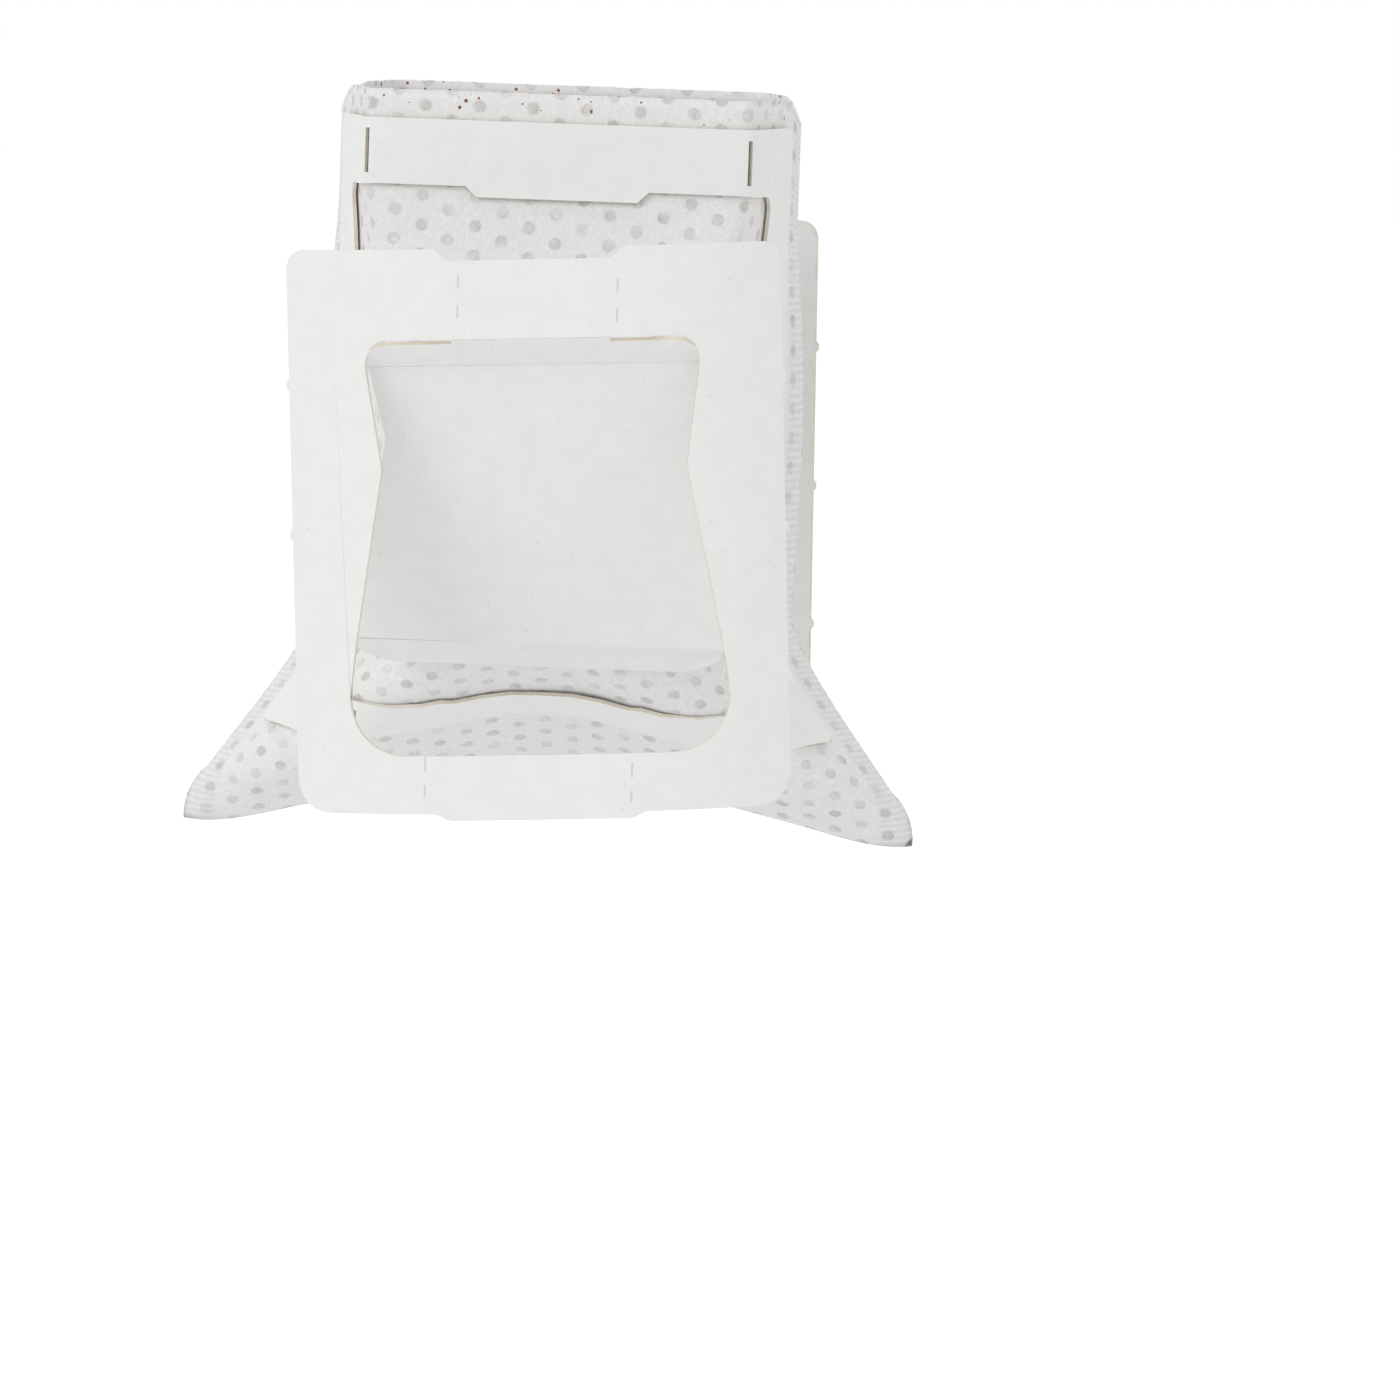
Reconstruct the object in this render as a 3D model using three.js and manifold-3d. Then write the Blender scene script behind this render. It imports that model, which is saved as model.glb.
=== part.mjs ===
// Hanging drip coffee bag, opened and hooked over a cup: a welded filter bag with ground coffee in it,
// and a die-cut card on each broad side, torn into a frame and a hook that is folded over the rim.
// Millimetres, +Z up. The origin is the centre of the cup's rim, level with its top. The front is at -Y.

import * as THREE from 'three';
import { mergeVertices } from 'three/addons/utils/BufferGeometryUtils.js';
import Module from 'manifold-3d';

const wasm = await Module();
wasm.setup();

const degrees = Math.PI / 180;

// The cup's wall, which isn't part of the object
const cupRadius = 44;
const cupWall = 3;

// Filter bag, measured flat, from the torn mouth down to the bottom fold
const fabric = 0.3;
const bagHalfWidth = 37;
const bagHeight = 84;
const mouthAboveRim = 25.5;
const mouthHalfDepth = 18.3;
const bellyHalfDepth = 26.6;
const bellyAt = 53.6;
const bellyRounding = 2.5;
const slack = 0.45;
const tornCornerStart = 28;
const tornCornerDrop = 2.6;
const tornCornerFade = 20;
const cavityEnd = 1.2;
const bottomSkin = 0.15;
const bottomSkinFade = 10;
const seamThinning = 4;
const closingCurve = 1.2;

// The walls turn sharply at the card's fold lines, and softly further down
const foldLine = 18.6;
const foldLength = 1.2;
const softLength = 11;
const softFrom = 40;

// Card
const card = 0.38;
const seat = 0.55;
const footSeat = 0.6;
const frameHalfWidth = 32;
const frameTop = 2.85;
const frameCorner = 1.5;
const bandHeight = 6.65;
const railHeight = 5.2;
const slitWidth = 0.25;
const slitMargin = 1.1;

// Hook plate
const plateHalfWidth = 25.2;
const plateTopCorner = 2;
const plateBottomCorner = 3.5;
const plateFlat = 6;
const plateBendRadius = 30;
const plateStandOff = 0.6;
const webAboveHinge = 8.8;
const webBelowOpening = 5.7;
const notchDepth = 1.15;
const notchHalfWidth = 8;
const notchFlare = 1.15;
const tabDepth = 0.65;
const tabHalfWidth = 9;
const tabFlare = 1.2;
const nubReach = 0.35;
const nubHalfLength = 0.6;
const nubMargin = 0.9;
const joinMargin = 0.5;

// Arm, the inner piece of the plate that stays joined to it at the hinge
const hingeAboveRim = 2.5;
const hingeHalfWidth = 7.75;
const shoulderGap = 0.5;
const shoulderHalfWidth = 16.8;
const shoulderCorner = 3;
const neckHalfWidth = 14.9;
const neckBelowHinge = 12.6;
const bellyHalfWidth = 18.8;
const bellyAboveEnd = 7;
const armCorner = 5.5;
const footLength = 4.5;
const creaseRadius = 1;
const rimClearance = 0.2;
const rootOverlap = 0.35;

// Ground coffee
const coffeeTop = -19;
const coffeeMound = 1.6;
const coffeeClearance = 0.45;
const coffeeFromSeam = 2.5;
const coffeeFromBottom = 3.5;
const coffeeSideInsets = 2;
const coffeeDepthInsets = 1.6;
const coffeeLeastDepth = 0.2;

// How the object hangs: each part rolls a little about a level of its own, positive with its top to +X
const bagRoll = { angle: 2 * degrees, level: -3 };
const frontHookRoll = { angle: -1.2 * degrees, level: -12 };
const rearHookRoll = { angle: 1 * degrees, level: -12 };

// Mesh fineness
const bagColumns = 24;
const bandRows = 2;
const upperRows = 8;
const bellyRows = 4;
const lowerRows = 8;
const foldSteps = 3;
const cornerSteps = 3;
const plateSteps = 5;
const armSteps = 3;
const coffeeColumns = 20;
const coffeeRows = 6;
const coffeeAcross = 6;
const traceStep = 1;
const normalStep = 0.05;
const searchSteps = 40;
const leastTurn = 0.0005;
const leastSpare = 0.01;
const stripReach = 3;

const front = -1;
const rear = 1;

const clamp = (value) => Math.min(Math.max(value, 0), 1);
const ease = (value) => clamp(value) ** 2 * (3 - 2 * clamp(value));
const mix = (from, to, share) => from + (to - from) * share;
const spread = (from, to, count) => Array.from({ length: count + 1 }, (_, i) => mix(from, to, i / count));

function roll(point, { angle, level }) {
  const height = point.z - level;
  return new THREE.Vector3(
    point.x * Math.cos(angle) + height * Math.sin(angle),
    point.y,
    level + height * Math.cos(angle) - point.x * Math.sin(angle),
  );
}

const bandEnd = frameTop + bandHeight;

// Half depth of the bag at a distance down from its mouth: it widens to the belly, where the feet of the
// two arms pull it out, and then closes to the bottom fold.
function halfDepth(down) {
  const outward = mix(mouthHalfDepth, bellyHalfDepth, Math.max(down - bandEnd, 0) / (bellyAt - bandEnd));
  const inward = fabric + (bellyHalfDepth - fabric) * (bagHeight - down) / (bagHeight - bellyAt);
  const share = clamp(0.5 + (outward - inward) / (2 * bellyRounding));
  return Math.max(mix(outward, inward, share) - bellyRounding * share * (1 - share), fabric);
}

// Angle that a wall turns through so that its seam meets the other wall's seam
function turnFor(flat, bend, reach) {
  const side = bagHalfWidth - flat - bend;
  let low = leastTurn;
  let high = Math.PI / 2;
  for (let step = 0; step < searchSteps; step += 1) {
    const turn = (low + high) / 2;
    const reached = (bend / turn) * (1 - Math.cos(turn)) + side * Math.sin(turn);
    if (reached < reach) low = turn;
    else high = turn;
  }
  return (low + high) / 2;
}

const levels = new Map();

// Distance out to the seam: the card's band sets it at the mouth, and it is the flat width at the bottom fold
function seamOut(down) {
  const side = bagHalfWidth - foldLine;
  const mouth = foldLine + Math.sqrt(side ** 2 - (mouthHalfDepth - fabric) ** 2);
  return mix(mouth, bagHalfWidth, clamp((down - bellyAt) / (bagHeight - bellyAt)) ** closingCurve);
}

// The wall's level section: flat in the middle, an arc where it turns and straight on to the seam
function levelAt(down) {
  if (!levels.has(down)) {
    const depth = halfDepth(down);
    const seam = seamOut(down);
    const bend = mix(foldLength, softLength, ease((down - bandEnd) / (softFrom - bandEnd)));
    const spare = Math.max(bagHalfWidth - seam, leastSpare);
    const turning = (bagHalfWidth ** 2 - seam ** 2 - (depth - fabric) ** 2) / (2 * spare);
    const flat = Math.min(Math.max(turning - bend / 2, 0), bagHalfWidth - bend - 1);
    const turn = turnFor(flat, bend, depth - fabric);
    levels.set(down, { flat, bend, turn, depth });
  }
  return levels.get(down);
}

function sectionPoint(across, down) {
  const { flat, bend, turn, depth } = levelAt(down);
  const length = Math.abs(across);
  const bent = Math.min(Math.max(length - flat, 0), bend) / bend * turn;
  const radius = bend / turn;
  const rest = Math.max(length - flat - bend, 0);
  const x = Math.min(length, flat) + radius * Math.sin(bent) + rest * Math.cos(turn);
  const y = radius * (1 - Math.cos(bent)) + rest * Math.sin(turn);
  return { x: Math.sign(across) * x, y: depth - y };
}

// Height that the wall loses down to a point, traced so that the fabric keeps its length
function traceDrop(across, down) {
  const steps = Math.max(1, Math.round(down / traceStep));
  const run = down / steps;
  let drop = 0;
  let last = sectionPoint(across, 0);
  for (let step = 1; step <= steps; step += 1) {
    const next = sectionPoint(across, run * step);
    const sideways = (next.x - last.x) ** 2 + (next.y - last.y) ** 2;
    drop += Math.sign(run) * Math.sqrt(Math.max(run * run - sideways, 0));
    last = next;
  }
  return drop;
}

// Beside the middle the fabric is a little slack, so it drops less than its length allows
function heightAt(across, down) {
  return mouthAboveRim - mix(traceDrop(across, down), traceDrop(0, down), slack);
}

function plainWallPoint(across, down, side) {
  const { x, y } = sectionPoint(across, down);
  return new THREE.Vector3(x, side * y, heightAt(across, down));
}

// Point of the bag's outer face, or of a card that lies at an offset from it
function wallPoint(across, down, side, offset = 0) {
  const point = plainWallPoint(across, down, side);
  if (offset !== 0) {
    const [left, right] = [-normalStep, normalStep].map((step) => plainWallPoint(across + step, down, side));
    const [above, below] = [-normalStep, normalStep].map((step) => plainWallPoint(across, down + step, side));
    const normal = right.sub(left).cross(below.sub(above)).multiplyScalar(side).normalize();
    point.addScaledVector(normal, offset);
  }
  return point;
}

// Meshes are gathered as lists of triangles, each three points
function meshOf(triangles, name, colour, roughness) {
  const geometry = new THREE.BufferGeometry();
  const places = triangles.flatMap((triangle) => triangle.flatMap((point) => point.toArray()));
  geometry.setAttribute('position', new THREE.Float32BufferAttribute(places, 3));
  const merged = mergeVertices(geometry, 1e-4);
  const { index } = merged;
  const kept = [];
  for (let i = 0; i < index.count; i += 3) {
    const [a, b, c] = [index.getX(i), index.getX(i + 1), index.getX(i + 2)];
    if (a !== b && b !== c && c !== a) kept.push(a, b, c);
  }
  merged.setIndex(kept);
  merged.computeVertexNormals();
  const material = new THREE.MeshStandardMaterial({ color: colour, roughness, metalness: 0 });
  const mesh = new THREE.Mesh(merged, material);
  mesh.name = name;
  return mesh;
}

function sheetBetween(rows, flip) {
  const triangles = [];
  for (let i = 0; i + 1 < rows.length; i += 1) {
    for (let j = 0; j + 1 < rows[i].length; j += 1) {
      const [a, b, c, d] = [rows[i][j], rows[i][j + 1], rows[i + 1][j + 1], rows[i + 1][j]];
      triangles.push(flip ? [a, b, c] : [a, c, b], flip ? [a, c, d] : [a, d, c]);
    }
  }
  return triangles;
}

const lineClose = 0.35;
const foldLines = [-1, 1].flatMap((side) => (
  spread(foldLine - foldLength / 2, foldLine + foldLength / 2, foldSteps).map((at) => side * at)));
const plainColumns = spread(-bagHalfWidth, bagHalfWidth, bagColumns).filter(
  (at) => foldLines.every((fold) => Math.abs(at - fold) > lineClose));
const columnLines = [...plainColumns, ...foldLines].sort((a, b) => a - b);
const rowLines = [
  ...spread(0, bandEnd, bandRows),
  ...spread(bandEnd, bellyAt - bellyRounding, upperRows).slice(1),
  ...spread(bellyAt - bellyRounding, bellyAt + bellyRounding, bellyRows).slice(1),
  ...spread(bellyAt + bellyRounding, bagHeight, lowerRows).slice(1),
];

// The mouth was torn off in a line that drops towards the seams
function tornDown(across, down) {
  const beyond = Math.max(Math.abs(across) - tornCornerStart, 0) / (bagHalfWidth - tornCornerStart);
  return down + tornCornerDrop * beyond ** 2 * Math.max(1 - down / tornCornerFade, 0);
}

function filterBag() {
  const wallRows = (side, lines, place) => lines.map((down) => (
    columnLines.map((across) => roll(place(across, tornDown(across, down), side), bagRoll))));
  const inside = (across, down, side) => {
    const point = wallPoint(across, down, side);
    const seam = sectionPoint(bagHalfWidth, down).x;
    const inset = fabric * Math.tan(levelAt(down).turn / 2);
    const skin = fabric + (down > bellyAt ? bottomSkin * ease((down - bellyAt) / bottomSkinFade) : 0);
    const share = Math.abs(across) / bagHalfWidth;
    point.x *= (seam - inset) / seam;
    const thinned = Math.max(side * point.y - mix(skin, fabric, share ** seamThinning), 0);
    point.y = side * thinned;
    return point;
  };
  const innerLines = rowLines.map((down) => Math.min(down, bagHeight - cavityEnd));
  const outerFront = wallRows(front, rowLines, wallPoint);
  const outerRear = wallRows(rear, rowLines, wallPoint);
  const innerFront = wallRows(front, innerLines, inside);
  const innerRear = wallRows(rear, innerLines, inside);
  const edge = (rows, j) => rows.map((row) => row[j]);
  const last = columnLines.length - 1;
  return [
    ...sheetBetween(outerFront, false),
    ...sheetBetween(outerRear, true),
    ...sheetBetween(innerFront, true),
    ...sheetBetween(innerRear, false),
    ...sheetBetween([edge(outerFront, 0), edge(outerRear, 0)], false),
    ...sheetBetween([edge(outerFront, last), edge(outerRear, last)], true),
    ...sheetBetween([outerFront.at(-1), outerRear.at(-1)], false),
    ...sheetBetween([innerFront.at(-1), innerRear.at(-1)], true),
    ...sheetBetween([outerFront[0], innerFront[0]], true),
    ...sheetBetween([outerRear[0], innerRear[0]], false),
    [outerRear[0][0], outerFront[0][0], innerFront[0][0]],
    [outerFront[0][last], outerRear[0][last], innerFront[0][last]],
  ];
}

// Distance down the wall at which it reaches a height
function downTo(across, height) {
  let low = 0;
  let high = bagHeight;
  for (let step = 0; step < 30; step += 1) {
    const middle = (low + high) / 2;
    if (heightAt(across, middle) > height) low = middle;
    else high = middle;
  }
  return low;
}

function coffeeBed() {
  const inset = 2 * fabric + coffeeClearance;
  const reach = bagHalfWidth - coffeeFromSeam;
  const acrossLines = spread(-reach, reach, coffeeColumns);
  const end = bagHeight - coffeeFromBottom;
  const placed = (across, down, side) => {
    const point = wallPoint(across, down, side);
    const depth = Math.abs(point.y);
    const seam = sectionPoint(bagHalfWidth, down).x;
    point.x *= (seam - coffeeSideInsets * inset) / seam;
    point.y = side * Math.max(depth - coffeeDepthInsets * inset, depth * coffeeLeastDepth);
    return point;
  };
  const tops = acrossLines.map((across) => downTo(across, coffeeTop));
  const sideRows = (side) => spread(0, 1, coffeeRows).map((share) => (
    acrossLines.map((across, j) => placed(across, mix(tops[j], end, share), side))));
  const frontRows = sideRows(front);
  const rearRows = sideRows(rear);
  const surface = spread(0, 1, coffeeAcross).map((share) => acrossLines.map((across, j) => {
    const point = frontRows[0][j].clone().lerp(rearRows[0][j], share);
    const rise = Math.sin(Math.PI * share) * Math.cos((across / reach) * Math.PI / 2);
    point.z += coffeeMound * rise;
    return point;
  }));
  const edge = (rows, j) => rows.map((row) => row[j]);
  const last = acrossLines.length - 1;
  const triangles = [
    ...sheetBetween(frontRows, false),
    ...sheetBetween(rearRows, true),
    ...sheetBetween(surface, true),
    ...sheetBetween([frontRows.at(-1), rearRows.at(-1)], false),
  ];
  for (const [j, flip] of [[0, false], [last, true]]) {
    const ends = [edge(frontRows, j), edge(rearRows, j)];
    const rim = edge(surface, j);
    const [bottomFront, bottomRear] = [ends[0].slice(1), ends[1].slice(1)];
    triangles.push(...sheetBetween([bottomFront, bottomRear], flip));
    for (let i = 0; i + 1 < rim.length; i += 1) {
      const triangle = [rim[i], rim[i + 1], bottomFront[0]];
      triangles.push(flip ? [rim[i], bottomFront[0], rim[i + 1]] : triangle);
    }
    const closing = [rim.at(-1), bottomRear[0], bottomFront[0]];
    triangles.push(flip ? [closing[0], closing[2], closing[1]] : closing);
  }
  return triangles.map((triangle) => triangle.map((point) => roll(point, bagRoll)));
}

// Flat card patterns are lists of corners, each [across, down, radius], where the radius may be left out
function rounded(corners) {
  return corners.flatMap(([across, down, radius = 0], i) => {
    const corner = new THREE.Vector2(across, -down);
    if (radius === 0) return [corner];
    const neighbour = (k) => {
      const [x, y] = corners.at((i + k) % corners.length);
      return new THREE.Vector2(x, -y).sub(corner).normalize();
    };
    const [back, on] = [neighbour(-1), neighbour(1)];
    const half = Math.acos(back.dot(on)) / 2;
    const reach = radius / Math.tan(half);
    const centre = back.clone().add(on).setLength(radius / Math.sin(half)).add(corner);
    const [start, end] = [back, on].map((way) => way.setLength(reach).add(corner));
    return spread(0, 1, cornerSteps).map((share) => (
      start.clone().lerp(end, share).sub(centre).setLength(radius).add(centre)));
  });
}

const mirror = (corners) => corners.map(([across, ...rest]) => [-across, ...rest]).reverse();
const symmetric = (corners) => new THREE.Shape(rounded([...corners, ...mirror(corners)]));

// Top and bottom edges of the plate, which the frame's window repeats
const plateTopEdge = (top) => [
  [notchHalfWidth, top + notchDepth],
  [notchHalfWidth + notchFlare, top],
  [plateHalfWidth, top, plateTopCorner],
];
const plateBottomEdge = (bottom) => [
  [plateHalfWidth, bottom, plateBottomCorner],
  [tabHalfWidth + tabFlare, bottom],
  [tabHalfWidth, bottom + tabDepth],
];

const onLine = 1e-4;

function cutTriangle(triangle, axis, at) {
  const sides = triangle.map((point) => point[axis] - at);
  if (Math.min(...sides) > -onLine || Math.max(...sides) < onLine) return [triangle];
  const over = [];
  const under = [];
  triangle.forEach((point, i) => {
    const next = triangle[(i + 1) % 3];
    const [here, there] = [sides[i], sides[(i + 1) % 3]];
    if (here > -onLine) over.push(point);
    if (here < onLine) under.push(point);
    if (Math.abs(here) > onLine && Math.abs(there) > onLine && here * there < 0) {
      const [low, high] = here < 0 ? [point, next] : [next, point];
      const lowSide = Math.min(here, there);
      const crossing = low.clone().lerp(high, lowSide / (lowSide - Math.max(here, there)));
      crossing[axis] = at;
      over.push(crossing);
      under.push(crossing);
    }
  });
  return [over, under].flatMap((ring) => (
    ring.slice(2).map((point, i) => [ring[0], ring[i + 1], point])));
}

const keyOf = (point) => point.toArray().map((value) => Math.round(value / onLine)).join();

// Outlines of the patches that some triangles make, each a ring of points
function ringsOf(triangles) {
  const edges = new Map();
  for (const triangle of triangles) {
    triangle.forEach((point, i) => {
      const following = triangle[(i + 1) % 3];
      edges.set(`${keyOf(point)} ${keyOf(following)}`, [point, following]);
    });
  }
  const onward = new Map();
  for (const [key, edge] of edges) {
    if (!edges.has(key.split(' ').reverse().join(' '))) onward.set(keyOf(edge[0]), edge);
  }
  const rings = [];
  while (onward.size > 0) {
    const ring = [];
    let key = onward.keys().next().value;
    while (onward.has(key)) {
      const [point, following] = onward.get(key);
      ring.push(point);
      onward.delete(key);
      key = keyOf(following);
    }
    rings.push(ring);
  }
  return rings;
}

function isCorner(point, i, ring) {
  const [back, on] = [-1, 1].map((k) => ring.at((i + k) % ring.length).clone().sub(point).normalize());
  return back.cross(on).length() > onLine;
}

// Cutting leaves slivers, so each cell between the lines is made one polygon again and filled afresh
function refill(triangles, acrossLines, downLines) {
  const cells = new Map();
  const walls = [];
  for (const triangle of triangles) {
    const middle = triangle[0].clone().add(triangle[1]).add(triangle[2]).divideScalar(3);
    const column = acrossLines.filter((at) => at < middle.x).length;
    const row = downLines.filter((at) => at < -middle.y).length;
    const cell = [triangle[0].z, column, row].join();
    if (triangle.some((point) => point.z !== triangle[0].z)) walls.push(triangle);
    else cells.set(cell, [...(cells.get(cell) ?? []), triangle]);
  }
  const facesUp = ([a, b, c]) => b.clone().sub(a).cross(c.clone().sub(a)).z > 0;
  const filled = [...cells.values()].flatMap((patch) => ringsOf(patch).flatMap((outline) => {
    const ring = outline.filter(isCorner);
    const faces = THREE.ShapeUtils.triangulateShape(ring, []).map((face) => face.map((k) => ring[k]));
    return faces.map((face) => (facesUp(face) === facesUp(patch[0]) ? face : face.reverse()));
  }));
  return [...walls, ...filled];
}

function trianglesFrom(geometry) {
  const places = geometry.getAttribute('position');
  return Array.from({ length: places.count / 3 }, (_, i) => (
    [0, 1, 2].map((k) => new THREE.Vector3().fromBufferAttribute(places, 3 * i + k))));
}

// A perforation of a fold line, which goes through the card
function slitPattern(at, from, to) {
  const box = new THREE.BoxGeometry(slitWidth, to - from, 2 * card);
  box.translate(at, -(from + to) / 2, card / 2);
  return trianglesFrom(box.toNonIndexed());
}

// Triangles of the extruded outlines of one card, cut along the lines where it will bend. The outlines
// meet along join lines, where their side walls are left out.
function cardPattern(shapes, joinLines, acrossLines, downLines) {
  let triangles = [];
  for (const shape of shapes) {
    const geometry = new THREE.ExtrudeGeometry(shape, { depth: card, bevelEnabled: false });
    triangles.push(...trianglesFrom(geometry).filter((triangle) => (
      joinLines.every((at) => triangle.some((point) => Math.abs(point.y + at) > onLine)))));
  }
  for (const at of acrossLines) triangles = triangles.flatMap((triangle) => cutTriangle(triangle, 'x', at));
  for (const at of downLines) triangles = triangles.flatMap((triangle) => cutTriangle(triangle, 'y', -at));
  return refill(triangles, acrossLines, [...downLines, ...joinLines]);
}

function bendPattern(triangles, side, place) {
  return triangles.map((triangle) => {
    const [a, b, c] = triangle.map((point) => place(point.x, -point.y, point.z));
    return side === front ? [a, b, c] : [a, c, b];
  });
}

// Arm seen from the side, as distances out from the cup's axis and heights. It starts at the hinge,
// touches down on the rim, runs down to the crease and ends in the foot on the bag's wall.
function traceArm() {
  const quarterTurn = ([out, up]) => [-up, out];
  const hinge = [cupRadius + plateStandOff, hingeAboveRim];
  const rimCentre = [cupRadius - cupWall / 2, -cupWall / 2];
  const wrap = cupWall / 2 + rimClearance + card / 2;

  const footMiddle = wallPoint(0, bellyAt + footLength / 2, rear, footSeat + card / 2);
  const above = plainWallPoint(0, bellyAt + footLength / 2 - traceStep / 2, rear);
  const below = plainWallPoint(0, bellyAt + footLength / 2 + traceStep / 2, rear);
  const footAngle = Math.atan2(below.z - above.z, below.y - above.y);
  const crease = [
    footMiddle.y - Math.cos(footAngle) * footLength / 2,
    footMiddle.z - Math.sin(footAngle) * footLength / 2,
  ];

  const tangent = (from, to, sign) => {
    const [out, up] = [to[0] - from[0], to[1] - from[1]];
    const square = out * out + up * up;
    const length = Math.sqrt(square - wrap * wrap);
    const [turnedOut, turnedUp] = quarterTurn([out, up]);
    const along = [length * out + sign * wrap * turnedOut, length * up + sign * wrap * turnedUp];
    return { length, angle: Math.atan2(along[1], along[0]) };
  };
  const first = tangent(hinge, rimCentre, -1);
  const second = tangent(rimCentre, crease, 1);
  const whole = (angle) => (angle > 0 ? angle - 2 * Math.PI : angle);
  const [start, slope, foot] = [first.angle, second.angle, footAngle].map(whole);
  const wrapTurn = slope - start;
  const creaseTurn = foot - slope;
  const creaseTrim = creaseRadius * Math.tan(Math.abs(creaseTurn) / 2);
  const pieces = [
    { length: first.length, turn: 0 },
    { length: wrap * Math.abs(wrapTurn), turn: wrapTurn },
    { length: second.length - creaseTrim, turn: 0 },
    { length: creaseRadius * Math.abs(creaseTurn), turn: creaseTurn },
    { length: footLength - creaseTrim, turn: 0 },
  ];
  return { hinge, start, pieces };
}

const arm = traceArm();
const armLength = arm.pieces.reduce((sum, piece) => sum + piece.length, 0);

// Point and direction at a distance along the arm
function armAt(distance) {
  let [out, up] = arm.hinge;
  let angle = arm.start;
  let left = distance;
  for (const [i, { length, turn }] of arm.pieces.entries()) {
    const lastPiece = i === arm.pieces.length - 1;
    const run = lastPiece || left < length ? left : length;
    const turned = turn === 0 ? 0 : turn * (run / length);
    const chord = turned === 0 ? run : (2 * run / turned) * Math.sin(turned / 2);
    out += chord * Math.cos(angle + turned / 2);
    up += chord * Math.sin(angle + turned / 2);
    angle += turned;
    left -= run;
    if (left <= 0) break;
  }
  return { out, up, angle };
}

const plateHeight = webAboveHinge + armLength + webBelowOpening;
const railTop = bandEnd + plateHeight;

function cardFrame(side) {
  const half = frameHalfWidth;
  const bottom = railTop + railHeight;
  const stripTop = bandEnd + plateTopCorner + joinMargin;
  const stripEnd = railTop - plateBottomCorner - joinMargin;
  const band = symmetric([
    [half, frameTop, frameCorner],
    [half, stripTop],
    [plateHalfWidth, stripTop],
    ...plateTopEdge(bandEnd).reverse(),
  ]);
  const rail = symmetric([
    ...plateBottomEdge(railTop).reverse(),
    [plateHalfWidth, stripEnd],
    [half, stripEnd],
    [half, bottom, frameCorner],
  ]);
  const strip = [[plateHalfWidth, stripTop], [half, stripTop], [half, stripEnd], [plateHalfWidth, stripEnd]];
  const strips = [strip, mirror(strip)].map((corners) => new THREE.Shape(rounded(corners)));
  const joins = [stripTop, stripEnd];
  const stripMiddle = (plateHalfWidth + half) / 2;
  const outerLines = plainColumns.filter((at) => Math.abs(Math.abs(at) - stripMiddle) < stripReach);
  const railLines = columnLines.filter((at) => Math.abs(at) < plateHalfWidth - joinMargin);
  const [stripRows, railRows] = [[stripTop, stripEnd], [stripEnd, bottom]].map(([from, to]) => (
    rowLines.filter((at) => at > from + joinMargin && at < to - joinMargin)));
  const pattern = [
    ...cardPattern([band], joins, [...foldLines, ...outerLines], []),
    ...cardPattern(strips, joins, outerLines, stripRows),
    ...cardPattern([rail], joins, [...railLines, ...outerLines], railRows),
  ];
  const place = (across, down, rise) => roll(wallPoint(across, down, side, seat + rise), bagRoll);
  let frame = solidOf(bendPattern(pattern, side, place));
  for (const at of [-foldLine, foldLine]) {
    for (const [top, end] of [[frameTop, bandEnd], [railTop, bottom]]) {
      const slit = slitPattern(at, top + slitMargin, end - slitMargin);
      frame = frame.subtract(solidOf(bendPattern(slit, side, place)));
    }
  }
  return trianglesOf(frame);
}

function solidOf(triangles) {
  const mesh = meshOf(triangles, '', 'white', 1);
  const vertProperties = new Float32Array(mesh.geometry.getAttribute('position').array);
  const triVerts = new Uint32Array(mesh.geometry.index.array);
  return new wasm.Manifold(new wasm.Mesh({ numProp: 3, vertProperties, triVerts }));
}

function trianglesOf(solid) {
  const { vertProperties, triVerts, numProp } = solid.getMesh();
  const point = (i) => new THREE.Vector3().fromArray(vertProperties, i * numProp);
  const triangles = [];
  for (let i = 0; i < triVerts.length; i += 3) {
    triangles.push([triVerts[i], triVerts[i + 1], triVerts[i + 2]].map(point));
  }
  return triangles;
}

const plateTop = hingeAboveRim + webAboveHinge;
const openingEnd = webAboveHinge + armLength;

// Half width of the vase-shaped line between its shoulder and its belly
function vaseHalfWidth(belowHinge) {
  const bellyBelowHinge = armLength - bellyAboveEnd;
  if (belowHinge < neckBelowHinge) return mix(shoulderHalfWidth, neckHalfWidth, belowHinge / neckBelowHinge);
  const share = clamp((belowHinge - neckBelowHinge) / (bellyBelowHinge - neckBelowHinge));
  return mix(neckHalfWidth, bellyHalfWidth, share);
}

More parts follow.
